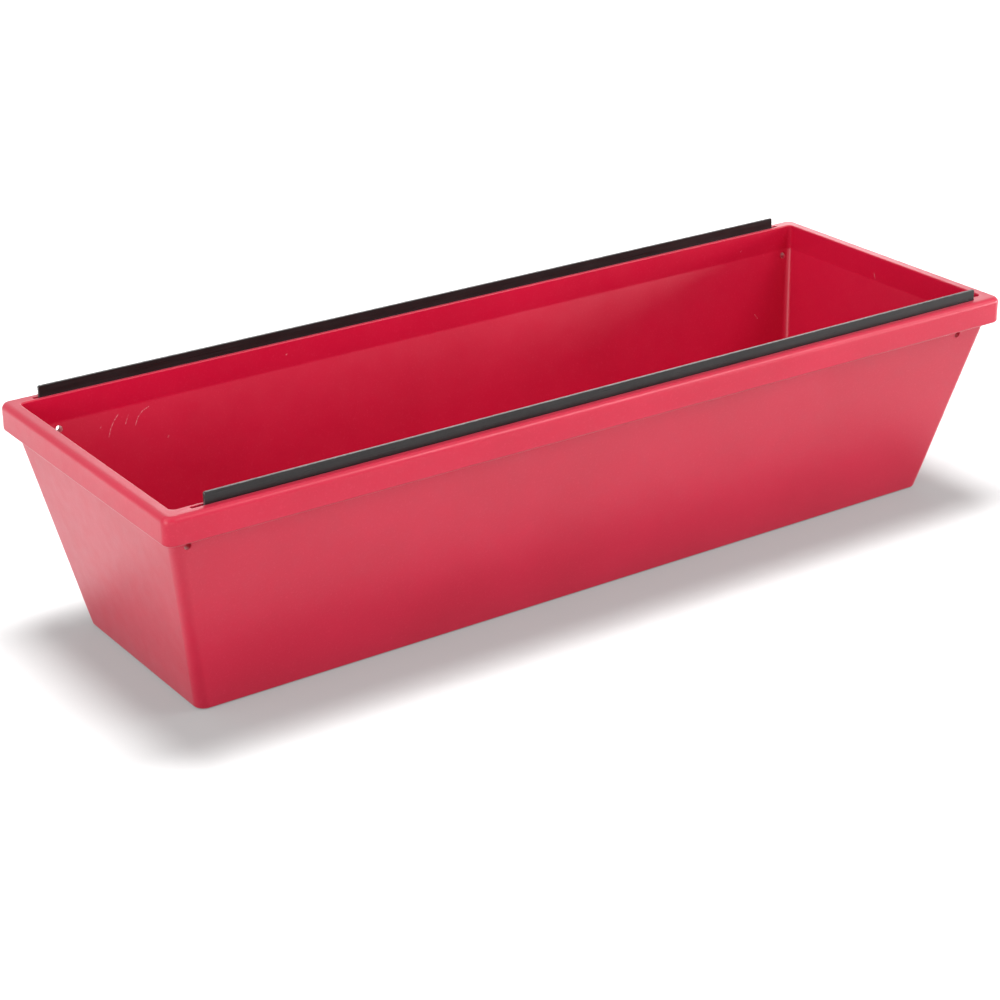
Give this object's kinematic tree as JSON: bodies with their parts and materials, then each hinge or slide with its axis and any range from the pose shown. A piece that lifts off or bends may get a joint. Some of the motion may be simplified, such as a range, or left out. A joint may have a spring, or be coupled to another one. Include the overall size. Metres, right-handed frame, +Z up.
{
  "type": "drywall mud pan",
  "caption": "Long tapered plastic trough for joint compound, with an upright band round its rim and a steel scraper blade standing in a slot along each long rim.",
  "frame": {"origin": "centre of the flat base, on the surface that the pan stands on", "axes": "+X along the length, +Y across the width from the front rim to the rear rim, +Z up out of the mouth"},
  "size_m": [0.33, 0.114, 0.0788],
  "materials": {
    "red_plastic": "satin injection-moulded plastic",
    "black_steel": "satin black-finished strip steel"
  },
  "bodies": {
    "pan_body": {"pan": "red_plastic"},
    "front_blade": {"front_scraper_blade": "black_steel"},
    "rear_blade": {"rear_scraper_blade": "black_steel"}
  },
  "joints": [
    {"name": "front_blade_lift", "type": "slide", "parent": "pan_body", "child": "front_blade", "axis": [0, 0, 1], "range_m": [0, 0.012]},
    {"name": "rear_blade_lift", "type": "slide", "parent": "pan_body", "child": "rear_blade", "axis": [0, 0, 1], "range_m": [0, 0.012]}
  ]
}
